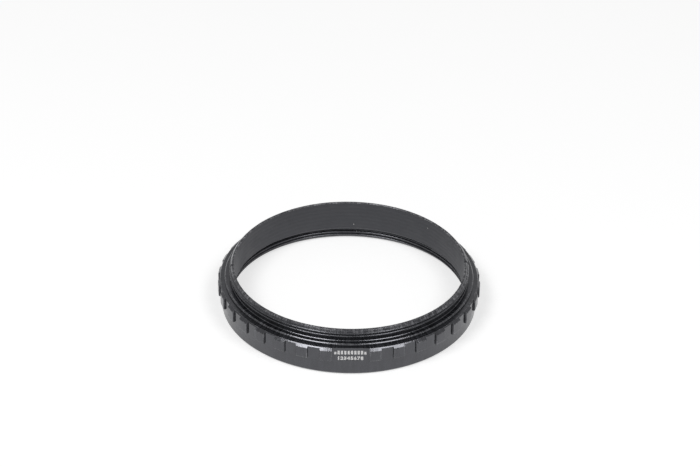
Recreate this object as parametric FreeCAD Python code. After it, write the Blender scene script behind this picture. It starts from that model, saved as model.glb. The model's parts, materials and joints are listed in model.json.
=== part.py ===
"""Threaded extension tube for an optical train, turned and milled from one aluminium blank.

The ring stands on its base with the internal thread down and the external thread up.
The origin is the centre of the base face and +Z runs along the optical axis. The front
of the ring, where the label window is, faces -Y. All sizes are millimetres.
"""
import FreeCAD, Part
import math
import os

# Height of the seat above the base, which is the spacing that the tube adds
optical_length = 7.5

# The metric thread that both ends share
thread_diameter = 54.0
thread_pitch = 0.75
thread_flank_degrees = 30.0
external_depth_ratio = 0.6134
internal_depth_ratio = 0.5413
external_crest_allowance = 0.05

# Threaded collar above the seat, and the bore through it
collar_height = 2.7
collar_wall = 0.54
collar_relief_height = 0.65
collar_relief_undercut = 0.08
collar_relief_fillet = 0.52
collar_lead_undercut = 0.1
bore_edge_break = 0.1

# Threaded socket in the base, which takes the collar of the next tube
socket_clearance = 0.5
socket_relief_height = 1.3
socket_relief_undercut = 0.15
socket_lead_overcut = 0.4

# Steps of the body, from the thread outwards
seat_overhang = 1.15
seat_edge_chamfer = 0.2
shelf_drop = 0.6
shelf_width = 0.6
body_edge_bevel = 0.1
base_edge_break = 0.4

# Raised grip lands, milled out of a turned band around the body
grip_count = 34
grip_gap_width = 2.8
grip_rise = 0.85
grip_base_height = 3.65
grip_base_chamfer = 0.5
grip_top_chamfer_height = 0.75

# Spanner notches across the rim of the collar
notch_count = 2
notch_width = 0.8
notch_depth = 0.8
notch_turn_degrees = 2.03

# How far every cutting body reaches past the surface that it cuts
cutter_overrun = 1.0

# The label window looks along -Y
front_degrees = -90.0

# Radii of the thread and of what lines up with it
thread_radius = thread_diameter / 2
external_crest_radius = thread_radius - external_crest_allowance
external_root_radius = thread_radius - external_depth_ratio * thread_pitch
internal_crest_radius = thread_radius - internal_depth_ratio * thread_pitch
collar_relief_radius = external_root_radius - collar_relief_undercut
collar_rim_radius = external_root_radius - collar_lead_undercut
bore_radius = external_root_radius - collar_wall
socket_relief_radius = thread_radius + socket_relief_undercut
socket_mouth_radius = thread_radius + socket_lead_overcut

# Radii of the body
seat_radius = external_crest_radius + seat_overhang
shelf_radius = seat_radius + shelf_width
body_radius = shelf_radius + body_edge_bevel
grip_radius = body_radius + grip_rise

# Heights above the base
rim_height = optical_length + collar_height
shelf_height = optical_length - shelf_drop
grip_shoulder_height = shelf_height - grip_top_chamfer_height
collar_relief_top = optical_length + collar_relief_height
collar_lead_height = rim_height - (external_crest_radius - collar_rim_radius)
socket_depth = collar_height + socket_clearance
socket_relief_base = socket_depth - socket_relief_height
socket_lead_height = socket_mouth_radius - internal_crest_radius

grip_pitch_degrees = 360.0 / grip_count


def at(radius, height):
    """A point of a section in the plane of X, the radius, and Z, the height."""
    return FreeCAD.Vector(radius, 0, height)


def closed_face(points):
    """The flat face inside a closed outline."""
    return Part.Face(Part.makePolygon(points + [points[0]]))


def turned(section, degrees):
    """What a section sweeps when it turns about the optical axis."""
    return section.revolve(FreeCAD.Vector(0, 0, 0), FreeCAD.Vector(0, 0, 1), degrees)


def turned_copy(shape, degrees):
    """A copy of the shape, turned about the optical axis."""
    copy = shape.copy()
    copy.rotate(FreeCAD.Vector(0, 0, 0), FreeCAD.Vector(0, 0, 1), degrees)
    return copy


def flank_rise(depth):
    """Height that a thread flank gains over a radial depth."""
    return depth * math.tan(math.radians(thread_flank_degrees))


def ring_section():
    """Half section of the turned ring, up the outside and down the bore."""
    body = [
        at(body_radius - base_edge_break, 0),
        at(body_radius, base_edge_break),
        at(body_radius, grip_base_height),
        at(grip_radius - grip_base_chamfer, grip_base_height),
        at(grip_radius, grip_base_height + grip_base_chamfer),
        at(grip_radius, grip_shoulder_height),
        at(shelf_radius, shelf_height),
        at(seat_radius, shelf_height),
        at(seat_radius, optical_length - seat_edge_chamfer),
        at(seat_radius - seat_edge_chamfer, optical_length),
    ]
    collar_shoulder = collar_relief_top + flank_rise(external_crest_radius - collar_relief_radius)
    collar = [
        at(collar_relief_radius, optical_length),
        at(collar_relief_radius, collar_relief_top),
        at(external_crest_radius, collar_shoulder),
        at(external_crest_radius, collar_lead_height),
        at(collar_rim_radius, rim_height),
        at(bore_radius + bore_edge_break, rim_height),
        at(bore_radius, rim_height - bore_edge_break),
    ]
    socket_shoulder = socket_relief_base + flank_rise(socket_relief_radius - internal_crest_radius)
    socket = [
        at(bore_radius, socket_depth),
        at(socket_relief_radius, socket_depth),
        at(socket_relief_radius, socket_shoulder),
        at(internal_crest_radius, socket_relief_base),
        at(internal_crest_radius, socket_lead_height),
        at(socket_mouth_radius, 0),
    ]
    return closed_face(body + collar + socket)


def with_seat_fillet(ring):
    """The ring with the inner corner rounded where the seat meets the collar."""
    corner = []
    for edge in ring.Edges:
        if not isinstance(edge.Curve, Part.Circle):
            continue
        at_seat = math.isclose(edge.Curve.Center.z, optical_length, abs_tol=1e-6)
        at_relief = math.isclose(edge.Curve.Radius, collar_relief_radius, abs_tol=1e-6)
        if at_seat and at_relief:
            corner.append(edge)
    return ring.makeFillet(collar_relief_fillet, corner)


def grip_cuts():
    """The gaps between the lands, and the label window where the front land is left out.

    Every cut stops at the body radius, so the gaps and the window run flush into the body.
    """
    outside = grip_radius + cutter_overrun
    foot = grip_base_height - cutter_overrun
    top = shelf_height + cutter_overrun
    section = closed_face([
        at(body_radius, foot),
        at(outside, foot),
        at(outside, top),
        at(body_radius, top),
    ])
    mill = Part.makeBox(outside, grip_gap_width, top)
    mill.translate(FreeCAD.Vector(0, -grip_gap_width / 2, 0))
    gap = turned(section, 360).common(mill)
    cuts = []
    for index in range(grip_count):
        cuts.append(turned_copy(gap, front_degrees + (index + 0.5) * grip_pitch_degrees))
    window = turned(section, grip_pitch_degrees)
    cuts.append(turned_copy(window, front_degrees - grip_pitch_degrees / 2))
    return cuts


def notch_cuts():
    """Narrow slots through the wall of the collar, for a pin spanner."""
    start = bore_radius - cutter_overrun
    length = external_crest_radius + cutter_overrun - start
    slot = Part.makeBox(length, notch_width, notch_depth + cutter_overrun)
    slot.translate(FreeCAD.Vector(start, -notch_width / 2, rim_height - notch_depth))
    cuts = []
    for index in range(notch_count):
        cuts.append(turned_copy(slot, notch_turn_degrees + index * 360.0 / notch_count))
    return cuts


def tube_ring():
    """The whole extension tube as one solid."""
    ring = with_seat_fillet(turned(ring_section(), 360))
    return ring.cut(grip_cuts() + notch_cuts()).removeSplitter()


os.makedirs("parts", exist_ok=True)
tube_ring().exportStep("parts/tube_ring.step")
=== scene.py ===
"""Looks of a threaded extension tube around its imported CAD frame, laid out as a Blender add-on.

Everything is in metres in the frame of the CAD model: the base stands on z = 0, +Z is the
optical axis, and the label window faces -Y. Angles about the axis are polar, from +X.
"""
import json
import math

import bmesh
import bpy
from bpy.props import FloatProperty, FloatVectorProperty, IntProperty, PointerProperty
from mathutils import Matrix, Vector


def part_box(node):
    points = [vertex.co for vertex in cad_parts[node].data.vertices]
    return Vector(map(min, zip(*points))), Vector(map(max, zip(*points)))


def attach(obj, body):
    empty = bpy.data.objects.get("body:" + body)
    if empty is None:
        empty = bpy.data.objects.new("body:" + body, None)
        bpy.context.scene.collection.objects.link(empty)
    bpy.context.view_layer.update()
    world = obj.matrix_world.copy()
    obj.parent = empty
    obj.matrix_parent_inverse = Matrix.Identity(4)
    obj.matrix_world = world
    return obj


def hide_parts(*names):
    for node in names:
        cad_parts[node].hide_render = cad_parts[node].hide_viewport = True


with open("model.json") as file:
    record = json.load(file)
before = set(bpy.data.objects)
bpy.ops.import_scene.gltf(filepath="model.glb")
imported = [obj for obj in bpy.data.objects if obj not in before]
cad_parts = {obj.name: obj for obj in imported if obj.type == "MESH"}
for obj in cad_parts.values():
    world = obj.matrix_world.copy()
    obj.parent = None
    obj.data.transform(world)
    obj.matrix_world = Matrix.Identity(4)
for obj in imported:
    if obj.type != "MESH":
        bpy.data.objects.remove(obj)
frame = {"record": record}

bl_info = {
    "name": "Extension tube",
    "version": (1, 0, 0),
    "blender": (4, 5, 0),
    "location": "3D View > Sidebar > Tube",
    "description": "Builds a threaded extension tube with a grip band, and a studio around it",
    "category": "Add Mesh",
}

NODE = "tube_ring"
BODY = "root"
MOUNTS = {mount["name"]: mount for mount in frame["record"]["mounts"]}
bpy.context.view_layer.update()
MM = 0.001


def mount_radius(name):
    """Radius of a round mount of the record, in metres."""
    return MOUNTS[name]["dims"]["r_mm"] * MM


def length(name, description, default):
    """A property for a length, in metres."""
    return FloatProperty(name=name, description=description, default=default, min=0.0,
                         precision=5, unit="LENGTH", subtype="DISTANCE")


def angle(name, description, degrees):
    """A property for an angle, with its default given in degrees."""
    return FloatProperty(name=name, description=description, default=math.radians(degrees),
                         unit="ROTATION", subtype="ANGLE")


def share(name, description, default):
    """A property for a plain number from 0 to 1."""
    return FloatProperty(name=name, description=description, default=default, min=0.0, max=1.0,
                         subtype="FACTOR")


def tint(name, description, default):
    """A property for a colour."""
    return FloatVectorProperty(name=name, description=description, default=default, size=3,
                               min=0.0, max=1.0, subtype="COLOR")


# ---------------------------------------------------------------------------------------------
# Sizes and colours that a user would change


class TubeBodySizes(bpy.types.PropertyGroup):
    """Steps of the turned body, from the base up and from the outside inwards."""

    body_radius: length("Body radius", "Smooth cylinder below the band of lands", 28.8 * MM)
    base_break: length("Base edge", "Edge break where the body meets the base", 0.4 * MM)
    shelf_radius: length("Shelf radius", "Outer edge of the shelf below the seat", 29.0 * MM)
    shelf_height: length("Shelf height", "Height of the shelf above the base", 6.9 * MM)
    seat_radius: length("Seat radius", "Outer edge of the seat", 28.1 * MM)
    seat_height: length("Seat height", "Height of the seat, the spacing that the tube adds",
                        MOUNTS["seat"]["pos_m"][2])
    seat_chamfer: length("Seat chamfer", "Chamfer around the seat", 0.2 * MM)
    rim_height: length("Rim height", "Height of the whole tube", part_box(NODE)[1].z)
    rim_break: length("Rim edge", "Edge break where the rim meets the bore", 0.1 * MM)
    bore_radius: length("Bore radius", "Clear bore through the tube", mount_radius("clear_bore"))
    socket_depth: length("Socket depth", "Depth of the threaded socket in the base", 3.2 * MM)
    easing: length("Edge easing", "Width of the fine bevel on turned and milled edges", 0.07 * MM)


class TubeThreadSizes(bpy.types.PropertyGroup):
    """The external thread on the collar and the internal thread in the socket."""

    pitch: length("Pitch", "Distance from crest to crest", 0.75 * MM)
    crest_radius: length("External crest", "Outside radius of the external thread",
                         mount_radius("male_thread"))
    root_radius: length("External root", "Radius at the foot of the external thread", 26.54 * MM)
    crest_width: length("External crest width", "Width of the crest of the external thread",
                        0.17 * MM)
    crest_rounding: length("Crest rounding", "How far a crest falls off to its edges", 0.045 * MM)
    relief_radius: length("Collar relief", "Undercut below the external thread", 26.46 * MM)
    relief_top: length("Collar relief top", "Height where the undercut ends", 8.15 * MM)
    foot_radius: length("Collar foot", "Radius of the low step where the collar meets the seat",
                        26.92 * MM)
    foot_height: length("Foot height", "Height of that step, which is all bevel", 0.09 * MM)
    rim_radius: length("Collar rim", "Radius where the lead-in chamfer meets the rim", 26.43 * MM)
    lead_height: length("Lead-in height", "Height of the lead-in chamfer below the rim", 0.63 * MM)
    turn_height: length("External crest height", "Height of one external crest at the front",
                        9.42 * MM)
    inner_crest_radius: length("Internal crest", "Inside radius of the internal thread",
                               mount_radius("female_thread"))
    inner_root_radius: length("Internal root", "Radius at the foot of the internal thread",
                              27.0 * MM)
    inner_crest_width: length("Internal crest width", "Width of the crest of the internal thread",
                              0.19 * MM)
    inner_relief_radius: length("Socket relief", "Undercut at the end of the socket", 27.15 * MM)
    inner_relief_base: length("Socket relief base", "Height where the internal thread ends",
                              1.9 * MM)
    mouth_radius: length("Socket mouth", "Radius of the lead-in chamfer at the base", 27.4 * MM)
    inner_turn_height: length("Internal crest height", "Height of one internal crest at the back",
                              0.98 * MM)
    flank: angle("Flank angle", "Angle of a flank to the plane of the ring", 30.0)


class TubeGripSizes(bpy.types.PropertyGroup):
    """Raised lands that are milled out of a band around the body."""

    count: IntProperty(name="Places", description="Places for a land around the band, of which "
                       "the one at the front is left out", default=34, min=3)
    radius: length("Land radius", "Outside radius of the lands", 29.645 * MM)
    floor_radius: length("Gap floor radius", "Floor of the gaps", 29.22 * MM)
    window_distance: length("Window distance", "From the axis to the flat label window",
                            28.72 * MM)
    gap_width: length("Gap width", "Width of the gap between two lands", 2.8 * MM)
    base_height: length("Land base", "Height where the lands begin", 3.65 * MM)
    base_chamfer: length("Lower chamfer", "Chamfer below the lands", 0.2 * MM)
    shoulder_height: length("Land shoulder", "Height where the upper chamfer begins", 6.26 * MM)
    front: angle("Front", "Polar angle of the label window", -90.0)


class TubeNotchSizes(bpy.types.PropertyGroup):
    """Two slots through the collar, for a pin spanner."""

    count: IntProperty(name="Notches", description="Notches around the rim", default=2, min=1)
    width: length("Notch width", "Width of a notch", 0.8 * MM)
    depth: length("Notch depth", "Depth of a notch below the rim", 0.8 * MM)
    turn: angle("Notch turn", "Polar angle of the first notch", 2.03)


class TubeMarkSizes(bpy.types.PropertyGroup):
    """The plain scale of ticks and numbers in the label window."""

    numbers: IntProperty(name="Numbers", description="Numbers on the scale", default=8, min=2)
    digit_height: length("Digit height", "Height of the digits", 0.94 * MM)
    digit_pitch: length("Digit pitch", "Distance between two digits", 0.725 * MM)
    digit_base: length("Digit base", "Height where the digits stand", 3.8 * MM)
    digit_weight: share("Digit weight", "How much bolder the digits are than the plain font", 0.65)
    tick_height: length("Tick height", "Length of a long tick", 0.96 * MM)
    tick_width: length("Tick width", "Width of a tick", 0.48 * MM)
    tick_base: length("Tick base", "Height where the ticks stand", 5.27 * MM)
    thickness: length("Thickness", "How far the marks stand proud", 0.008 * MM)
    shift: FloatProperty(name="Shift", description="How far the scale stands right of the middle",
                         default=-0.06 * MM, precision=5, unit="LENGTH", subtype="DISTANCE")
    colour: tint("Colour", "Colour of the marks", (1.0, 1.0, 1.0))


class TubeFinish(bpy.types.PropertyGroup):
    """Satin black anodising over turned and milled surfaces."""

    colour: tint("Colour", "Colour of the anodising", (0.0085, 0.0088, 0.0105))
    # Rubbed edges are real wear; on the rim's edges this light colour also paints their bright
    # highlight lines
    wear_and_highlight_colour: tint("Worn colour", "Colour of rubbed edges", (0.5, 0.5, 0.52))
    roughness: share("Roughness", "Mean roughness of the turned faces", 0.19)
    bore_roughness: share("Bore roughness", "Mean roughness of the bore", 0.6)
    wall_roughness: share("Wall roughness", "Mean roughness of the milled walls", 0.75)
    # Painted light: the milled walls get a colour far lighter than the anodising, which lifts the
    # shade that falls on them
    lit_wall_colour: tint("Wall colour", "Colour of the milled walls", (0.075, 0.075, 0.08))
    wear: share("Edge wear", "How much of the edges is rubbed", 0.7)
    turning_pitch: length("Turning pitch", "Spacing of the fine turning marks", 0.06 * MM)
    turning_depth: share("Turning marks", "Strength of the fine turning marks", 0.12)
    bore_ring_pitch: length("Bore ring pitch", "Spacing of the faint rings in the bore", 1.0 * MM)
    bore_ring_depth: length("Bore ring depth", "Depth of the faint rings in the bore", 0.01 * MM)
    chatter_pitch: length("Chatter pitch", "Spacing of the streaks across the turning marks",
                          0.4 * MM)
    chatter_depth: length("Chatter depth", "Depth of the streaks across the turning marks",
                          0.022 * MM)


class TubeStudio(bpy.types.PropertyGroup):
    """Floor, light and camera."""

    azimuth: angle("Camera azimuth", "Direction of the camera about the axis, from -Y", -1.243)
    elevation: angle("Camera elevation", "Height of the camera above the horizon", 32.303)
    roll: angle("Camera roll", "Turn of the camera about its own axis", 1.007)
    distance: length("Camera distance", "From the camera to the point it looks at", 0.55297)
    aim: FloatVectorProperty(name="Camera aim", description="Point that the camera looks at",
                             subtype="XYZ", unit="LENGTH", size=3, precision=5,
                             default=(0.000220, 0.008525, 0.012683))
    lens: FloatProperty(name="Lens", description="Focal length of the camera", default=124.84,
                        min=1.0, unit="CAMERA", subtype="DISTANCE_CAMERA")
    floor_size: length("Floor size", "Side of the square floor", 6.0)
    floor_colour: share("Floor colour", "Brightness of the floor's own colour", 0.62)
    floor_lift: share("Floor lift", "White that only the camera and reflections see", 0.56)
    sky_light: share("Sky light", "Strength of the light from all round", 0.28)
    ceiling: share("Ceiling", "How bright reflections find the sky high above the floor", 0.62)
    softbox_width: length("Softbox width", "Level side of a softbox", 0.38)
    softbox_height: length("Softbox height", "Upright side of a softbox", 0.28)
    softbox_distance: length("Softbox distance", "From a softbox to the tube", 0.90)
    softbox_azimuth: angle("Softbox azimuth", "Turn of each softbox to its side, from -Y", 42.0)
    softbox_elevation: angle("Softbox elevation", "Height of the softboxes", 54.0)
    softbox_power: FloatProperty(name="Softbox power", description="Mean power of a softbox",
                                 default=2.7, min=0.0, unit="POWER", subtype="POWER")
    softbox_balance: share("Softbox balance", "How much of the power the left one has", 0.59)


# ---------------------------------------------------------------------------------------------
# Sections of the turned ring. A section is a list of rows (radius, height, wear), where wear
# says how much an edge gets rubbed, from 0 to 1. On the rim's edges the wear also paints their
# highlight lines.

# Width of the fine bevel on turned edges and on thin ones, as a share of that on milled edges
TURNED = 0.6
THIN = 0.5

# How far the wear beside a bevel reaches, in widths of the bevel, how much of it is left on the
# bevel's sides, and how much of the way to the next corner the rows of one corner may take
WEAR_REACH = 2.6
SIDE_WEAR = 0.8
MOST_ROOM = 0.45

# How much edges get rubbed: outer edges, the edges of walls and steps, and the thread's crests
# with the outer edge of the rim
RUBBED = 0.4
WALL_RUBBED = 0.35
CREST_RUBBED = 0.3

# A crest is rubbed down to this share of its rounding
CREST_TOP = 0.7

# Where the wear on the foot of the collar ends, in heights of the foot
FOOT_REACH = 1.4

# The upper chamfer of a land starts at least this far outside the shelf
SHELF_MARGIN = 0.02 * MM

# A land's wall is rubbed from this far above the floor of the gaps
WALL_MARGIN = 0.1 * MM

# Steps up each flank of a thread
FLANK_STEPS = 3

# Lengths and heights that differ by less are the same
TINY = 1e-9


def eased_corner(before, corner, after, width, wear=1.0):
    """Five rows for a corner: a fine bevel in three, and a row on each side that ends the wear."""
    corner, before, after = Vector(corner), Vector(before), Vector(after)
    rows = []
    for neighbour, order in ((before, (WEAR_REACH, 1.0)), (after, (1.0, WEAR_REACH))):
        way = neighbour - corner
        room = way.length
        if room > TINY:
            way /= room
        for reach in order:
            rows.append(corner + way * min(reach * width, MOST_ROOM * room))
    middle = (rows[1] + rows[2] + 2 * corner) / 4
    weights = (0.0, SIDE_WEAR * wear, wear, SIDE_WEAR * wear, 0.0)
    places = (rows[0], rows[1], middle, rows[2], rows[3])
    return [(place.x, place.y, weight) for place, weight in zip(places, weights)]


def milled_floor(tube, one):
    """Radius of the milled floor at a column. The gaps are round and the label window is flat."""
    grip = tube.grip
    if not one["window"]:
        return grip.floor_radius
    turn = one["turn"] + one["offset"] / grip.floor_radius
    return min(grip.floor_radius, grip.window_distance / math.cos(turn))


def outside_rows(tube, one):
    """Rows up the outside, from the base to the foot of the collar.

    On a raised column the rows run over a land, and else along the milled floor. The rows of
    one stand at the same places in the list as those of the other.
    """
    body, thread, grip = tube.body, tube.thread, tube.grip
    easing, turned = body.easing, body.easing * TURNED
    slope = (body.shelf_height - grip.shoulder_height) / (grip.radius - body.shelf_radius)
    rubbed = RUBBED if one["raised"] else 0.0
    floor = milled_floor(tube, one)

    def land(radius):
        return max(floor, radius - one["inset"]) if one["raised"] else floor

    def cone(radius):
        return body.shelf_height - max(radius - body.shelf_radius, SHELF_MARGIN) * slope

    base = (body.body_radius - body.base_break, 0.0)
    low = (body.body_radius, body.base_break)
    foot = (body.body_radius, grip.base_height)
    under = (land(grip.radius - grip.base_chamfer), grip.base_height)
    outer = (land(grip.radius), grip.base_height + grip.base_chamfer)
    shoulder = (land(grip.radius), cone(land(grip.radius)))
    brow = (floor, cone(floor))
    shelf = (min(body.shelf_radius, floor), body.shelf_height)
    step = (body.seat_radius, body.shelf_height)
    edge = (body.seat_radius, body.seat_height - body.seat_chamfer)
    seat = (body.seat_radius - body.seat_chamfer, body.seat_height)
    foot_of_collar = (thread.foot_radius, body.seat_height)
    collar = (thread.relief_radius, body.seat_height + thread.foot_height)
    rows = eased_corner((thread.mouth_radius, 0.0), base, low, turned, RUBBED)
    rows += eased_corner(base, low, foot, turned, RUBBED)
    rows.append(foot + (0.0,))
    rows += eased_corner(foot, under, outer, easing, rubbed)
    rows += eased_corner(under, outer, shoulder, easing, rubbed)
    rows += eased_corner(outer, shoulder, brow, easing, rubbed)
    rows.append(brow + (0.0,))
    rows += eased_corner(brow, shelf, step, easing * THIN, RUBBED)
    rows.append(step + (0.0,))
    rows += eased_corner(step, edge, seat, turned, RUBBED)
    rows += eased_corner(edge, seat, foot_of_collar, turned, RUBBED)
    rows.append(foot_of_collar + (0.0,))
    rows.append((thread.foot_radius - thread.foot_height, collar[1], WALL_RUBBED))
    rows.append((thread.foot_radius - FOOT_REACH * thread.foot_height, collar[1], 0.0))
    rows.append(collar + (0.0,))
    return rows


def rim_rows(tube):
    """Rows over the rim and down the bore, to the ceiling of the socket."""
    body, thread, notch = tube.body, tube.thread, tube.notch
    outer = (thread.rim_radius, body.rim_height)
    inner = (body.bore_radius + body.rim_break, body.rim_height)
    bore = (body.bore_radius, body.rim_height - body.rim_break)
    notch_floor = (body.bore_radius, body.rim_height - notch.depth)
    ceiling = (body.bore_radius, body.socket_depth)
    relief = (thread.inner_relief_radius, body.socket_depth)
    thin = body.easing * THIN
    # The rim's edges are rubbed in full: real wear, which also paints their bright highlight lines
    rows = [(outer[0] - thin, outer[1], CREST_RUBBED)]
    rows += eased_corner(outer, inner, bore, thin)
    rows += eased_corner(inner, bore, notch_floor, thin)
    rows.append(notch_floor + (0.0,))
    rows += eased_corner(bore, ceiling, relief, body.easing * TURNED, RUBBED)
    rows.append(relief + (0.0,))
    return rows


def wedge(height, crest_height, crest_width, thread):
    """How deep a thread's surface lies below its crest at a height."""
    off = abs((height - crest_height + thread.pitch / 2) % thread.pitch - thread.pitch / 2)
    half = crest_width / 2
    if off <= half:
        return thread.crest_rounding * (off / half) ** 2
    return thread.crest_rounding + (off - half) / math.tan(thread.flank)


def root_width(thread, crest_width, depth):
    """Width of the flat at the foot of a thread of a depth."""
    flank = math.tan(thread.flank) * (depth - thread.crest_rounding)
    return thread.pitch - crest_width - 2 * flank


def collar_radius(tube, height, turn):
    """Outside radius of the threaded part of the collar at a height and a polar angle."""
    body, thread = tube.body, tube.thread
    slope = math.tan(thread.flank)
    rise = thread.pitch * (turn - tube.grip.front) / math.tau
    depth = wedge(height, thread.turn_height + rise, thread.crest_width, thread)
    threaded = max(thread.root_radius, thread.crest_radius - depth)
    shoulder = thread.relief_radius + (height - thread.relief_top) / slope
    lead_width = thread.crest_radius - thread.rim_radius
    lead = thread.rim_radius + (body.rim_height - height) * lead_width / thread.lead_height
    widest = thread.rim_radius
    if height < body.rim_height:
        widest = max(thread.relief_radius, min(shoulder, lead))
    return min(threaded, thread.crest_radius, widest)


def socket_radius(tube, height, turn):
    """Inside radius of the threaded part of the socket at a height and a polar angle."""
    thread = tube.thread
    slope = math.tan(thread.flank)
    rise = thread.pitch * (turn - tube.grip.front - math.pi) / math.tau
    depth = wedge(height, thread.inner_turn_height + rise, thread.inner_crest_width, thread)
    threaded = min(thread.inner_root_radius, thread.inner_crest_radius + depth)
    shoulder = thread.inner_crest_radius + (height - thread.inner_relief_base) / slope
    lead = thread.mouth_radius - height
    widest = thread.mouth_radius
    if height > thread.inner_relief_base:
        widest = thread.inner_relief_radius
    return min(widest, max(threaded, shoulder, lead))


def helix_heights(tube, turn, first_crest, crest_width, root, low, high):
    """Heights that follow the helix at a polar angle, held between the ends of the thread."""
    pitch = tube.thread.pitch
    flank = (pitch - crest_width - root) / 2
    steps = [flank * part / FLANK_STEPS for part in range(FLANK_STEPS + 1)]
    offsets = [-pitch / 2]
    offsets += [-pitch / 2 + root / 2 + step for step in steps]
    offsets += [-crest_width / 4, 0.0, crest_width / 4]
    offsets += [crest_width / 2 + step for step in steps]
    crest = first_crest + pitch * turn / math.tau
    start = math.floor((low - first_crest) / pitch) - 2
    stop = math.ceil((high - first_crest) / pitch) + 2
    heights = []
    for index in range(start, stop):
        for offset in offsets:
            heights.append(min(high, max(low, crest + index * pitch + offset)))
    return heights


def snapped(heights, low, high, marks):
    """The heights with the nearest of them moved onto each mark."""
    heights = list(heights)
    inner = [index for index, height in enumerate(heights) if low < height < high]
    for mark in marks:
        if inner and low < mark < high:
            nearest = min(inner, key=lambda index: abs(heights[index] - mark))
            heights[nearest] = mark
            inner.remove(nearest)
    return heights


def collar_rows(tube, turn, notched):
    """Rows up the threaded part of the collar at a polar angle, counted from the front."""
    body, thread, notch = tube.body, tube.thread, tube.notch
    root = root_width(thread, thread.crest_width, thread.crest_radius - thread.root_radius)
    low, high = thread.relief_top, body.rim_height
    heights = helix_heights(tube, turn, thread.turn_height, thread.crest_width, root, low, high)
    marks = [body.rim_height - thread.lead_height,
             low + math.tan(thread.flank) * (thread.crest_radius - thread.relief_radius)]
    if notched:
        marks = [body.rim_height - notch.depth]
    rows = []
    for height in snapped(heights, low, high, marks):
        radius = collar_radius(tube, height, turn + tube.grip.front)
        wear = 0.0
        if height > body.rim_height - thread.lead_height:
            wear = RUBBED
        elif radius > thread.crest_radius - CREST_TOP * thread.crest_rounding:
            wear = CREST_RUBBED
        rows.append((radius, height, wear))
    return rows


def socket_rows(tube, turn):
    """Rows down the threaded part of the socket at a polar angle, counted from the front."""
    thread = tube.thread
    slope = math.tan(thread.flank)
    root = root_width(thread, thread.inner_crest_width,
                      thread.inner_root_radius - thread.inner_crest_radius)
    low = 0.0
    high = thread.inner_relief_base + slope * (
        thread.inner_relief_radius - thread.inner_crest_radius)
    first = thread.inner_turn_height - thread.pitch / 2
    heights = helix_heights(tube, turn, first, thread.inner_crest_width, root, low, high)
    marks = [thread.mouth_radius - thread.inner_crest_radius, thread.inner_relief_base]
    rows = []
    for height in reversed(snapped(heights, low, high, marks)):
        rows.append((socket_radius(tube, height, turn + tube.grip.front), height, 0.0))
    return rows


# ---------------------------------------------------------------------------------------------
# Columns around the ring. A column is a plane parallel to the axis that holds one section. Its
# turn is counted from the front, and its offset moves it sideways, as a cutter's wall stands.

# Steps from the middle of a land to the gap, and where columns stand on the floor of the gap,
# as shares of the way from its middle to its wall
LAND_STEPS = 3
FLOOR_PARTS = (-0.64, -0.32, 0.0, 0.32, 0.64)

# Least turn between the columns of a land and its wall, in radians, and least turn between a
# notch and the columns that stay beside it
WALL_CLEARANCE = 0.004
NOTCH_CLEARANCE = math.radians(0.3)

# Grid on which points of the mesh meet, in cells to the metre. Points within JOINED metres of
# each other are then joined, and edges below NO_LENGTH are taken out.
GRID = 5e6
JOINED = 2e-7
NO_LENGTH = 1e-8


def column(turn, offset=0.0, raised=False, inset=0.0, notch="", window=False):
    """One column. Notch is "" outside the notches, "wall" on the metal beside one, or "floor"."""
    return {"turn": turn, "offset": offset, "raised": raised, "inset": inset, "notch": notch,
            "window": window}


def place_columns(tube, place):
    """Columns from the middle of one land over the gap to the middle of the next."""
    grip, easing = tube.grip, tube.body.easing
    pitch = math.tau / grip.count
    middle = (place + 0.5) * pitch
    half = grip.gap_width / 2
    wall = math.asin(half / grip.radius)
    clear = math.asin((half + easing) / tube.body.bore_radius) + WALL_CLEARANCE
    before, after = place != 0, place + 1 != grip.count
    inner = [pitch / 2 - (pitch / 2 - clear) * part / LAND_STEPS
             for part in range(LAND_STEPS + 1)]
    columns = [column(middle - turn, raised=before) for turn in inner]
    columns.append(column(middle, -half - easing, raised=before))
    columns.append(column(middle, -half, raised=before, inset=easing))
    columns.append(column(middle, -half))
    columns += [column(middle + part * wall) for part in FLOOR_PARTS]
    columns.append(column(middle, half))
    columns.append(column(middle, half, raised=after, inset=easing))
    columns.append(column(middle, half + easing, raised=after))
    columns += [column(middle + turn, raised=after) for turn in reversed(inner[1:])]
    for one in columns:
        one["window"] = not (before and after or one["raised"])
    return columns


def with_notches(tube, columns):
    """The columns with the walls and the floor of each notch set between them."""
    body, notch = tube.body, tube.notch
    half = notch.width / 2
    reach = math.asin(half / body.bore_radius)
    for index in range(notch.count):
        middle = (notch.turn - tube.grip.front + index * math.tau / notch.count) % math.tau
        kept = [one for one in columns if one["offset"] != 0.0
                or abs(one["turn"] - middle) >= reach + NOTCH_CLEARANCE]
        walls = [column(middle, offset, notch=kind) for offset, kind in (
            (-half, "wall"), (-half, "floor"), (0.0, "floor"), (half, "floor"), (half, "wall"))]
        split = sum(one["turn"] + one["offset"] / body.body_radius < middle for one in kept)
        columns = kept[:split] + walls + kept[split:]
    return columns


def column_rows(tube, one):
    """The rows of a column all round its section, as (radius, height, wear, part)."""
    body, thread, notch = tube.body, tube.thread, tube.notch
    turn = one["turn"] + math.asin(one["offset"] / thread.crest_radius)
    outside = outside_rows(tube, one)
    if one["raised"]:
        edge = WALL_RUBBED if one["inset"] or one["offset"] else 0.0
        proud = tube.grip.floor_radius + WALL_MARGIN
        outside = [(radius, height, max(wear, edge) if radius > proud else wear)
                   for radius, height, wear in outside]
    collar = collar_rows(tube, turn, bool(one["notch"]))
    rim = rim_rows(tube)
    socket = socket_rows(tube, turn)
    if one["notch"] == "floor":
        floor = body.rim_height - notch.depth
        radius = collar_radius(tube, floor, turn + tube.grip.front)
        collar = [row if row[1] <= floor else (radius, floor, 0.0) for row in collar]
        rim = [(row[0], min(row[1], floor), 0.0) for row in rim]
    rows = []
    for name, part in (("outside", outside), ("collar", collar), ("rim", rim),
                       ("socket", socket)):
        rows += [row + (name,) for row in part]
    return rows


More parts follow.
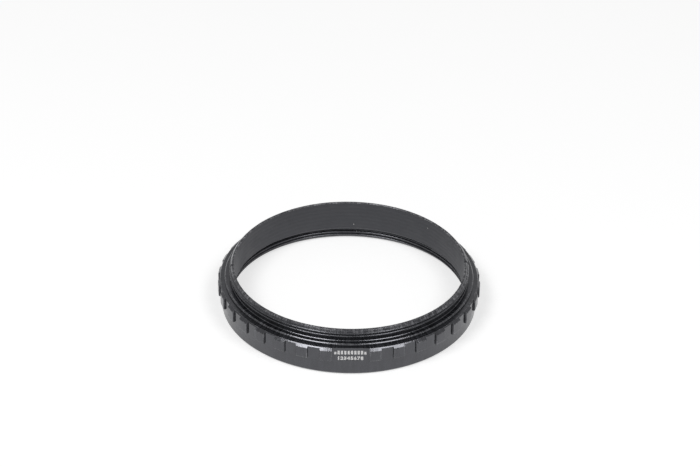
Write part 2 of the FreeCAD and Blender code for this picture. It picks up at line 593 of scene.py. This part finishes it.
def point_on(tube, one, radius, height):
    """The point of a column at a radius and a height."""
    turn = tube.grip.front + one["turn"] + math.asin(one["offset"] / radius)
    return (radius * math.cos(turn), radius * math.sin(turn), height)


def notch_wall(rows, start, floor_start, height, left):
    """The flat wall beside a notch, as one face from the rows of the metal and of the floor."""
    chain = [index for index, row in enumerate(rows) if row[3] in ("collar", "rim")]
    low = max(index for index in chain
              if rows[index][3] == "collar" and rows[index][1] <= height + TINY)
    high = min(index for index in chain
               if rows[index][3] == "rim" and rows[index][1] <= height + TINY)
    metal = [start + index for index in range(low, high + 1)]
    floor = [floor_start + index for index in range(high - 1, low, -1)
             if rows[index][3] == "rim"]
    face = metal + floor
    return face[::-1] if left else face


def tube_mesh(tube):
    """The whole ring as one closed mesh, with the edge wear kept as an attribute.

    On the rim's edges that wear also paints their highlight lines.
    """
    columns = []
    for place in range(tube.grip.count):
        columns += place_columns(tube, place)
    columns = with_notches(tube, columns)
    columns.append(dict(columns[0], turn=columns[0]["turn"] + math.tau))
    points, wear, faces, sections = [], [], [], []
    for one in columns:
        rows = column_rows(tube, one)
        sections.append(rows)
        for radius, height, wear_and_highlight, _ in rows:
            points.append(point_on(tube, one, radius, height))
            wear.append(wear_and_highlight)
    count = len(sections[0])
    floor = tube.body.rim_height - tube.notch.depth
    for index in range(len(columns) - 1):
        here, there = columns[index], columns[index + 1]
        start, end = index * count, (index + 1) * count
        kinds = (here["notch"], there["notch"])
        if kinds == ("wall", "floor"):
            faces.append(notch_wall(sections[index], start, end, floor, True))
        elif kinds == ("floor", "wall"):
            faces.append(notch_wall(sections[index + 1], end, start, floor, False))
        else:
            for row in range(count):
                after = (row + 1) % count
                faces.append((start + row, end + row, end + after, start + after))
    return welded_mesh("tube_ring_body", points, faces, wear)


def welded_mesh(name, points, faces, wear):
    """A mesh with points that meet joined into one, and faces without any area left out."""
    keys, welded, merged, wear_and_highlight = {}, [], [], []
    for point, weight in zip(points, wear):
        key = tuple(round(value * GRID) for value in point)
        if key not in keys:
            keys[key] = len(merged)
            merged.append(point)
            wear_and_highlight.append(weight)
        welded.append(keys[key])
        wear_and_highlight[keys[key]] = max(wear_and_highlight[keys[key]], weight)
    kept = []
    for face in faces:
        loop = []
        for index in face:
            vertex = welded[index]
            if vertex not in loop:
                loop.append(vertex)
        if len(loop) > 2:
            kept.append(loop)
    mesh = bpy.data.meshes.new(name)
    mesh.from_pydata(merged, [], kept)
    mesh.update()
    # Edge wear for each point; on the rim's edges it also paints their highlight lines
    attribute = mesh.attributes.new("edge_wear", "FLOAT", "POINT")
    attribute.data.foreach_set("value", wear_and_highlight)
    return mesh


def check_closed(mesh):
    """Joins points that all but meet, and raises an error if the mesh is open or inside out."""
    shape = bmesh.new()
    shape.from_mesh(mesh)
    bmesh.ops.remove_doubles(shape, verts=shape.verts, dist=JOINED)
    bmesh.ops.dissolve_degenerate(shape, edges=shape.edges, dist=NO_LENGTH)
    loose = [vertex for vertex in shape.verts if not vertex.link_faces]
    bmesh.ops.delete(shape, geom=loose, context="VERTS")
    bad = [edge for edge in shape.edges if len(edge.link_faces) != 2]
    volume = shape.calc_volume(signed=True)
    shape.to_mesh(mesh)
    shape.free()
    if bad or volume <= 0:
        raise RuntimeError(f"{mesh.name}: {len(bad)} edges are open, volume {volume}")


def new_object(name, mesh, material):
    """An object in the scene that holds the mesh and wears the material."""
    old = bpy.data.objects.get(name)
    if old is not None:
        bpy.data.objects.remove(old)
    piece = bpy.data.objects.new(name, mesh)
    bpy.context.scene.collection.objects.link(piece)
    mesh.materials.clear()
    mesh.materials.append(material)
    return piece


# ---------------------------------------------------------------------------------------------
# Materials

# Scales of the noise textures, in waves to the metre
CLOUD_SCALE = 260.0
PATCH_SCALE = 900.0
GRAIN_SCALE = 5200.0
SPECKLE_SCALE = 9000.0
LINT_SCALE = 12000.0

# The mean of a noise texture, and the range that holds most of it
NOISE_MEAN = 0.48
NOISE_RANGE = (0.3, 0.7)

# How far the streaks are drawn out along the axis, and the depth of the fine turning marks
STREAK_STRETCH = 0.12
TURNING_DISTANCE = 0.01 * MM

# How far outside the bore's radius a face still counts as the bore
BORE_MARGIN = 0.04 * MM

# Gloss and reflection colour of the anodising
ANODISING_IOR = 1.84
ANODISING_TINT = (0.92, 0.93, 1.0, 1.0)

# How bright reflections find the horizon, and the height where the ceiling's brightness starts
HORIZON = 0.8
CEILING_START = 0.15


class Wiring:
    """Adds nodes to a material or a world from left to right and wires them."""

    def __init__(self, name, owner=None):
        self.owner = owner or bpy.data.materials.get(name) or bpy.data.materials.new(name)
        self.owner.use_nodes = True
        self.tree = self.owner.node_tree
        self.tree.nodes.clear()
        self.place = 0

    def node(self, kind, inputs=(), **settings):
        """A node of a kind. Inputs are pairs of a socket and a value or another node's socket."""
        made = self.tree.nodes.new(kind)
        made.location = (self.place * 200, 0)
        self.place += 1
        for name, value in settings.items():
            setattr(made, name, value)
        for socket, value in inputs:
            if isinstance(value, bpy.types.NodeSocket):
                self.tree.links.new(value, made.inputs[socket])
            else:
                made.inputs[socket].default_value = value
        return made

    def math(self, operation, *values):
        """The result of a Math node."""
        made = self.node("ShaderNodeMath", list(enumerate(values)), operation=operation)
        return made.outputs[0]

    def ramp(self, value, low, high, to_low=0.0, to_high=1.0):
        """A value mapped smoothly from one range to another."""
        made = self.node("ShaderNodeMapRange",
                         [("Value", value), ("From Min", low), ("From Max", high),
                          ("To Min", to_low), ("To Max", to_high)],
                         interpolation_type="SMOOTHSTEP")
        return made.outputs["Result"]

    def mix(self, factor, first, second):
        """One colour mixed into another. A colour is a socket or (red, green, blue)."""
        inputs = [(0, factor)]
        for socket, colour in ((6, first), (7, second)):
            if not isinstance(colour, bpy.types.NodeSocket):
                colour = tuple(colour) + (1.0,)
            inputs.append((socket, colour))
        return self.node("ShaderNodeMix", inputs, data_type="RGBA").outputs[2]

    def blend(self, factor, first, second):
        """One number mixed into another."""
        return self.node("ShaderNodeMix", [(0, factor), (2, first), (3, second)]).outputs[0]

    def noise(self, vector, scale, detail=2.0, roughness=0.5):
        """The grey value of a noise texture."""
        made = self.node("ShaderNodeTexNoise", [("Vector", vector), ("Scale", scale),
                                                ("Detail", detail), ("Roughness", roughness)])
        return made.outputs["Fac"]

    def coordinates(self, kind):
        """Texture coordinates of a kind."""
        return self.node("ShaderNodeTexCoord").outputs[kind]

    def combined(self, **parts):
        """A vector from those of its X, Y and Z that are given."""
        return self.node("ShaderNodeCombineXYZ", list(parts.items())).outputs[0]

    def vector(self, operation, *values, output="Vector"):
        """The result of a Vector Math node."""
        made = self.node("ShaderNodeVectorMath", list(enumerate(values)), operation=operation)
        return made.outputs[output]

    def scaled(self, colour, factor):
        """A colour times a factor."""
        made = self.node("ShaderNodeVectorMath", [(0, tuple(colour)), ("Scale", factor)],
                         operation="SCALE")
        return made.outputs["Vector"]

    def bump(self, height, distance, strength=1.0, normal=None):
        """A normal tilted by a height, on top of an earlier normal if there is one."""
        inputs = [("Strength", strength), ("Height", height), ("Distance", distance)]
        if normal is not None:
            inputs.append(("Normal", normal))
        return self.node("ShaderNodeBump", inputs).outputs[0]

    def output(self, shader, kind="Material"):
        """Wires a shader to the output and returns the material or world."""
        self.node("ShaderNodeOutput" + kind, [("Surface", shader.outputs[0])])
        return self.owner


def anodised_material(tube):
    """Satin black anodising, with turning marks, faint bore rings, milled walls painted lighter
    over their shade, and rubbed edges that also paint the rim's highlight lines.
    """
    finish = tube.finish
    wiring = Wiring("satin_black_anodising")
    place = wiring.coordinates("Object")
    parts = wiring.node("ShaderNodeSeparateXYZ", [(0, place)]).outputs
    across = wiring.combined(X=parts["X"], Y=parts["Y"])
    radius = wiring.vector("LENGTH", across, output="Value")
    outwards_here = wiring.vector("NORMALIZE", across)

    # Fine rings that the cutting tool leaves, the same all the way round
    section = wiring.combined(X=radius, Z=parts["Z"])
    turning = wiring.noise(section, 1.0 / finish.turning_pitch, 1.0)

    # Streaks across them, which a cutter that trembles leaves side by side around the ring.
    # The bore has none.
    rise = wiring.combined(Z=wiring.math("MULTIPLY", parts["Z"], STREAK_STRETCH))
    belt = wiring.vector("MULTIPLY_ADD", outwards_here, (tube.body.body_radius,) * 3, rise)
    chatter = wiring.noise(belt, 1.0 / finish.chatter_pitch, 3.0, 0.6)
    in_bore = wiring.math("LESS_THAN", radius, tube.body.bore_radius + BORE_MARGIN)
    streak = wiring.blend(in_bore, chatter, NOISE_MEAN)

    # Walls that face along the ring, which below the shelf are the milled walls of the lands.
    # Below the shelf they get a lighter colour, painted light that lifts their shade
    along = wiring.vector("CROSS_PRODUCT", (0.0, 0.0, 1.0), outwards_here)
    facing = wiring.vector("DOT_PRODUCT", wiring.coordinates("Normal"), along, output="Value")
    faces_along = wiring.ramp(wiring.math("ABSOLUTE", facing), 0.75, 0.95)
    below = wiring.math("LESS_THAN", parts["Z"], tube.body.shelf_height)
    wall_light_mask = wiring.math("MULTIPLY", faces_along, below)

    # Faint rings in the bore, and the bumps of all three
    ring_phase = wiring.math("MULTIPLY", parts["Z"], math.tau / finish.bore_ring_pitch)
    ring = wiring.math("MULTIPLY", wiring.math("SINE", ring_phase), in_bore)
    normal = wiring.bump(turning, TURNING_DISTANCE, finish.turning_depth)
    normal = wiring.bump(streak, finish.chatter_depth, normal=normal)
    normal = wiring.bump(ring, finish.bore_ring_depth, normal=normal)

    # Cloudy change of colour and gloss, and edges rubbed by handling, whose light colour on the
    # rim's edges also paints their highlight lines
    cloud = wiring.noise(place, CLOUD_SCALE, 3.0, 0.6)
    grain = wiring.noise(place, GRAIN_SCALE, 2.0, 0.6)
    rubbed = wiring.node("ShaderNodeAttribute", attribute_name="edge_wear").outputs["Fac"]
    patchy = wiring.math("ADD", wiring.noise(place, PATCH_SCALE, 3.0, 0.65), chatter)
    patchy = wiring.ramp(patchy, 0.9, 1.25)
    wear_and_highlight = wiring.math("MULTIPLY", wiring.math("MULTIPLY", rubbed, patchy), finish.wear)
    shade = wiring.math("MULTIPLY", wiring.ramp(cloud, *NOISE_RANGE, 0.86, 1.14),
                        wiring.ramp(streak, 0.35, 0.65, 0.4, 2.4))
    colour = wiring.scaled(finish.colour, shade)
    # Painted light: the milled walls take a lighter colour over their shade
    colour = wiring.mix(wall_light_mask, colour, finish.lit_wall_colour)
    # Rubbed edges take a light colour: real wear, and on the rim's edges a painted highlight
    colour = wiring.mix(wear_and_highlight, colour, finish.wear_and_highlight_colour)

    # The bore and the walls that face along the ring are duller than the turned faces outside
    change = wiring.math("ADD", wiring.ramp(cloud, *NOISE_RANGE, -0.03, 0.04),
                         wiring.ramp(grain, *NOISE_RANGE, -0.02, 0.02))
    level = wiring.ramp(in_bore, 0.0, 1.0, finish.roughness, finish.bore_roughness)
    level = wiring.blend(faces_along, level, finish.wall_roughness)
    surface = wiring.node("ShaderNodeBsdfPrincipled",
                          [("Base Color", colour),
                           ("Roughness", wiring.math("ADD", change, level)),
                           ("IOR", ANODISING_IOR), ("Metallic", 0.0),
                           ("Specular Tint", ANODISING_TINT), ("Normal", normal)])
    return wiring.output(surface)


def marking_material(tube):
    """The chalky white that a laser leaves on the anodising."""
    wiring = Wiring("laser_white")
    speckle = wiring.noise(wiring.coordinates("Object"), SPECKLE_SCALE, 2.0, 0.7)
    colour = wiring.scaled(tube.marks.colour, wiring.ramp(speckle, 0.3, 0.75, 0.78, 1.0))
    surface = wiring.node("ShaderNodeBsdfPrincipled",
                          [("Base Color", colour), ("Roughness", 0.7), ("IOR", 1.45)])
    return wiring.output(surface)


def dust_material():
    """Pale lint."""
    wiring = Wiring("pale_lint")
    grey = wiring.noise(wiring.coordinates("Object"), LINT_SCALE, 2.0)
    colour = wiring.mix(wiring.ramp(grey, *NOISE_RANGE), (0.62, 0.62, 0.6), (0.85, 0.85, 0.83))
    surface = wiring.node("ShaderNodeBsdfPrincipled",
                          [("Base Color", colour), ("Roughness", 0.9), ("IOR", 1.4)])
    return wiring.output(surface)


def floor_material(studio):
    """A pale floor that takes the shadow, and looks white to the camera and in reflections."""
    wiring = Wiring("pale_floor")
    level = studio.floor_colour
    diffuse = wiring.node("ShaderNodeBsdfDiffuse", [("Color", (level, level, level, 1.0))])
    path = wiring.node("ShaderNodeLightPath").outputs
    seen = wiring.math("MAXIMUM", path["Is Camera Ray"], path["Is Glossy Ray"])
    seen = wiring.math("MAXIMUM", seen, path["Is Transmission Ray"])
    lift = wiring.math("MULTIPLY", seen, studio.floor_lift)
    glow = wiring.node("ShaderNodeEmission", [("Strength", lift)])
    both = wiring.node("ShaderNodeAddShader", [(0, diffuse.outputs[0]), (1, glow.outputs[0])])
    return wiring.output(both)


# ---------------------------------------------------------------------------------------------
# Marks and dust

# Length of the first and the last tick, as a share of the others
SHORT_TICK = 0.7

# How far the font's outline swells at full weight, as a share of its size
FULL_WEIGHT = 0.1

# A grain of lint out from the wall, along the ring and upwards, as shares of its size, and how
# uneven it is
GRAIN_SHAPE = (0.35, 1.0, 0.8, 1.0)
GRAIN_SWELL = 0.18


def laid(points, distance, turn, base, proud):
    """Points, as (across, up, out), laid on a flat at a distance and a polar angle."""
    out_way = Vector((math.cos(turn), math.sin(turn), 0.0))
    across_way = Vector((-math.sin(turn), math.cos(turn), 0.0))
    placed = []
    for across, up, out in points:
        place = out_way * (distance + out * proud) + across_way * across
        placed.append((place.x, place.y, base + up))
    return placed


def digit_outline(text, height, weight):
    """A flat mesh of a digit from Blender's own font, with its middle at 0 and its foot at 0."""
    curve = bpy.data.curves.new("digit", "FONT")
    curve.body = text
    curve.size = 1.0
    curve.offset = FULL_WEIGHT * weight
    curve.align_x = "CENTER"
    curve.resolution_u = 3
    holder = bpy.data.objects.new("digit", curve)
    bpy.context.scene.collection.objects.link(holder)
    bpy.context.view_layer.update()
    mesh = bpy.data.meshes.new_from_object(holder)
    bpy.data.objects.remove(holder)
    bpy.data.curves.remove(curve)
    low = min(vertex.co.y for vertex in mesh.vertices)
    high = max(vertex.co.y for vertex in mesh.vertices)
    scale = height / (high - low)
    shape = bmesh.new()
    shape.from_mesh(mesh)
    bpy.data.meshes.remove(mesh)
    for vertex in shape.verts:
        vertex.co = Vector((vertex.co.x * scale, (vertex.co.y - low) * scale, 0.0))
    bmesh.ops.remove_doubles(shape, verts=shape.verts, dist=1e-7)
    return shape


def plate(shape):
    """Points and faces of a closed plate over a flat mesh, from out = -1 to out = 1."""
    shape.normal_update()
    shape.verts.index_update()
    for face in shape.faces:
        if face.normal.z < 0:
            face.normal_flip()
    count = len(shape.verts)
    points = [(vertex.co.x, vertex.co.y, -1.0) for vertex in shape.verts]
    points += [(vertex.co.x, vertex.co.y, 1.0) for vertex in shape.verts]
    faces = []
    for face in shape.faces:
        loop = [vertex.index for vertex in face.verts]
        faces.append([index + count for index in loop])
        faces.append(loop[::-1])
        for corner in face.loops:
            if len(corner.edge.link_faces) == 1:
                start, end = corner.vert.index, corner.link_loop_next.vert.index
                faces.append([start, end, end + count, start + count])
    shape.free()
    return points, faces


def mark_mesh(tube):
    """Ticks above and digits below, as thin plates on the flat of the window."""
    marks, grip = tube.marks, tube.grip
    points, faces = [], []

    def add(shape, across, base):
        first = len(points)
        flat, loops = plate(shape)
        flat = [(x + across + marks.shift, y, out) for x, y, out in flat]
        points.extend(laid(flat, grip.window_distance, grip.front, base, marks.thickness))
        faces.extend([first + index for index in loop] for loop in loops)

    for number in range(marks.numbers + 2):
        across = (number - (marks.numbers + 1) / 2) * marks.digit_pitch
        numbered = 0 < number <= marks.numbers
        if numbered:
            add(digit_outline(str(number % 10), marks.digit_height, marks.digit_weight), across,
                marks.digit_base)
        tick = bmesh.new()
        half = marks.tick_width / 2
        tall = marks.tick_height * (1.0 if numbered else SHORT_TICK)
        corners = ((-half, 0.0), (half, 0.0), (half, tall), (-half, tall))
        tick.faces.new([tick.verts.new((x, y, 0.0)) for x, y in corners])
        add(tick, across, marks.tick_base)
    mesh = bpy.data.meshes.new("window_marks")
    mesh.from_pydata(points, [], faces)
    mesh.update()
    return mesh


def lint_mesh(specks):
    """Small flattened grains that lie on the wall. A speck is (turn, radius, height, size)."""
    shape = bmesh.new()
    for turn, radius, height, size in specks:
        around = Matrix.Rotation(math.radians(turn), 4, "Z")
        place = around @ Matrix.Translation((radius, 0.0, height)) @ Matrix.Diagonal(GRAIN_SHAPE)
        middle = place.translation
        grain = bmesh.ops.create_icosphere(shape, subdivisions=2, radius=size / 2, matrix=place)
        for index, vertex in enumerate(grain["verts"]):
            swell = 1.0 + GRAIN_SWELL * math.sin(index * 2.4 + turn)
            vertex.co = middle + (vertex.co - middle) * swell
    mesh = bpy.data.meshes.new("lint")
    shape.to_mesh(mesh)
    shape.free()
    return mesh


# ---------------------------------------------------------------------------------------------
# Operators

# Faces that meet at more than this angle meet at a sharp edge
SHARP_ANGLE = math.radians(34.0)


class TUBE_OT_add_ring(bpy.types.Operator):
    """Build the threaded ring with its lands and notches in place of the CAD solid"""

    bl_idname = "tube.add_ring"
    bl_label = "Add ring"

    def execute(self, context):
        tube = context.scene.extension_tube
        mesh = tube_mesh(tube)
        check_closed(mesh)
        mesh.polygons.foreach_set("use_smooth", [True] * len(mesh.polygons))
        mesh.set_sharp_from_angle(angle=SHARP_ANGLE)
        ring = new_object("tube_ring_body", mesh, anodised_material(tube))
        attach(ring, BODY)
        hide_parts(NODE)
        return {"FINISHED"}


class TUBE_OT_add_marks(bpy.types.Operator):
    """Set the plain scale of ticks and numbers in the label window"""

    bl_idname = "tube.add_marks"
    bl_label = "Add window marks"

    def execute(self, context):
        tube = context.scene.extension_tube
        marks = new_object("window_marks", mark_mesh(tube), marking_material(tube))
        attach(marks, BODY)
        return {"FINISHED"}


class TUBE_OT_add_lint(bpy.types.Operator):
    """Lay two specks of lint on the bore and one in the socket"""

    bl_idname = "tube.add_lint"
    bl_label = "Add lint"

    def execute(self, context):
        body = context.scene.extension_tube.body
        specks = ((86.86, body.bore_radius, 4.29 * MM, 0.22 * MM),
                  (44.86, body.bore_radius, 8.04 * MM, 0.2 * MM),
                  (85.3, body.bore_radius + 0.6 * MM, 2.0 * MM, 0.12 * MM))
        lint = new_object("lint", lint_mesh(specks), dust_material())
        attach(lint, BODY)
        return {"FINISHED"}


class TUBE_OT_set_stage(bpy.types.Operator):
    """Set the pale floor, the soft light and the camera"""

    bl_idname = "tube.set_stage"
    bl_label = "Set stage"

    def execute(self, context):
        scene = context.scene
        studio = scene.extension_tube.studio
        add_floor(studio)
        add_light(scene, studio)
        add_camera(scene, studio)
        scene.view_settings.view_transform = "Standard"
        return {"FINISHED"}


def outwards(azimuth, elevation):
    """The direction of a place on the sky, with azimuth counted from -Y towards +X."""
    return Vector((math.sin(azimuth) * math.cos(elevation),
                   -math.cos(azimuth) * math.cos(elevation), math.sin(elevation)))


def add_floor(studio):
    """A square floor under the tube."""
    half = studio.floor_size / 2
    mesh = bpy.data.meshes.new("floor")
    corners = [(-half, -half, 0.0), (half, -half, 0.0), (half, half, 0.0), (-half, half, 0.0)]
    mesh.from_pydata(corners, [], [(0, 1, 2, 3)])
    new_object("floor", mesh, floor_material(studio))


def add_light(scene, studio):
    """Two softboxes, one to each side, and a sky that is white to the camera."""
    for name, side, part in (("softbox_left", -1, studio.softbox_balance),
                             ("softbox_right", 1, 1.0 - studio.softbox_balance)):
        lamp = bpy.data.lights.new(name, "AREA")
        lamp.shape = "RECTANGLE"
        lamp.size = studio.softbox_width
        lamp.size_y = studio.softbox_height
        lamp.energy = 2.0 * part * studio.softbox_power
        holder = bpy.data.objects.new(name, lamp)
        scene.collection.objects.link(holder)
        direction = outwards(side * studio.softbox_azimuth, studio.softbox_elevation)
        holder.location = direction * studio.softbox_distance
        holder.rotation_euler = direction.to_track_quat("Z", "Y").to_euler()

    world = bpy.data.worlds.new("white_sky")
    scene.world = world
    wiring = Wiring("white_sky", world)
    way = wiring.coordinates("Generated")
    height = wiring.node("ShaderNodeSeparateXYZ", [(0, way)]).outputs["Z"]
    path = wiring.node("ShaderNodeLightPath").outputs
    mirrored = wiring.math("MAXIMUM", path["Is Glossy Ray"], path["Is Transmission Ray"])
    gradient = wiring.ramp(height, 0.0, CEILING_START, HORIZON, studio.ceiling)
    level = wiring.blend(mirrored, studio.sky_light, gradient)
    level = wiring.math("MAXIMUM", level, path["Is Camera Ray"])
    wiring.output(wiring.node("ShaderNodeBackground", [("Strength", level)]), "World")


def add_camera(scene, studio):
    """The camera of the photograph."""
    lens = bpy.data.cameras.new("camera")
    lens.lens = studio.lens
    lens.sensor_width = 36.0
    lens.sensor_fit = "HORIZONTAL"
    lens.clip_start = 0.01
    camera = bpy.data.objects.new("camera", lens)
    scene.collection.objects.link(camera)
    back = outwards(studio.azimuth, studio.elevation)
    right = Vector((math.cos(studio.azimuth), math.sin(studio.azimuth), 0.0))
    up = back.cross(right)
    cos, sin = math.cos(studio.roll), math.sin(studio.roll)
    right, up = cos * right + sin * up, cos * up - sin * right
    axes = Matrix((right, up, back)).transposed()
    place = Vector(studio.aim) + back * studio.distance
    camera.matrix_world = Matrix.Translation(place) @ axes.to_4x4()
    scene.camera = camera


# ---------------------------------------------------------------------------------------------
# Panel and registration


class ExtensionTube(bpy.types.PropertyGroup):
    """All settings of the extension tube."""

    body: PointerProperty(name="Body", description="Steps of the body", type=TubeBodySizes)
    thread: PointerProperty(name="Threads", description="Both threads", type=TubeThreadSizes)
    grip: PointerProperty(name="Grip", description="Raised lands", type=TubeGripSizes)
    notch: PointerProperty(name="Notches", description="Spanner notches", type=TubeNotchSizes)
    marks: PointerProperty(name="Marks", description="Scale in the window", type=TubeMarkSizes)
    finish: PointerProperty(name="Finish", description="Anodised finish", type=TubeFinish)
    studio: PointerProperty(name="Studio", description="Floor, light and camera",
                            type=TubeStudio)


class VIEW3D_PT_extension_tube(bpy.types.Panel):
    """Steps that build the tube, in order, and the settings of each"""

    bl_idname = "VIEW3D_PT_extension_tube"
    bl_label = "Extension tube"
    bl_space_type = "VIEW_3D"
    bl_region_type = "UI"
    bl_category = "Tube"

    STEPS = (("tube.add_ring", ("body", "thread", "grip", "notch", "finish")),
             ("tube.add_marks", ("marks",)),
             ("tube.add_lint", ()),
             ("tube.set_stage", ("studio",)))

    def draw(self, context):
        tube = context.scene.extension_tube
        for step, groups in self.STEPS:
            box = self.layout.box()
            box.operator(step)
            for name in groups:
                group = getattr(tube, name)
                for key in group.__annotations__:
                    box.prop(group, key)


CLASSES = (TubeBodySizes, TubeThreadSizes, TubeGripSizes, TubeNotchSizes, TubeMarkSizes,
           TubeFinish, TubeStudio, ExtensionTube, TUBE_OT_add_ring, TUBE_OT_add_marks,
           TUBE_OT_add_lint, TUBE_OT_set_stage, VIEW3D_PT_extension_tube)


def register():
    """Registers the classes and hangs the settings on the scene."""
    for one in CLASSES:
        bpy.utils.register_class(one)
    bpy.types.Scene.extension_tube = PointerProperty(type=ExtensionTube)


def unregister():
    """Takes the settings off the scene and the classes out."""
    del bpy.types.Scene.extension_tube
    for one in reversed(CLASSES):
        bpy.utils.unregister_class(one)


def main():
    """Builds every piece and the stage."""
    register()
    bpy.ops.tube.add_ring()
    bpy.ops.tube.add_marks()
    bpy.ops.tube.add_lint()
    bpy.ops.tube.set_stage()


if __name__ == "__main__":
    main()
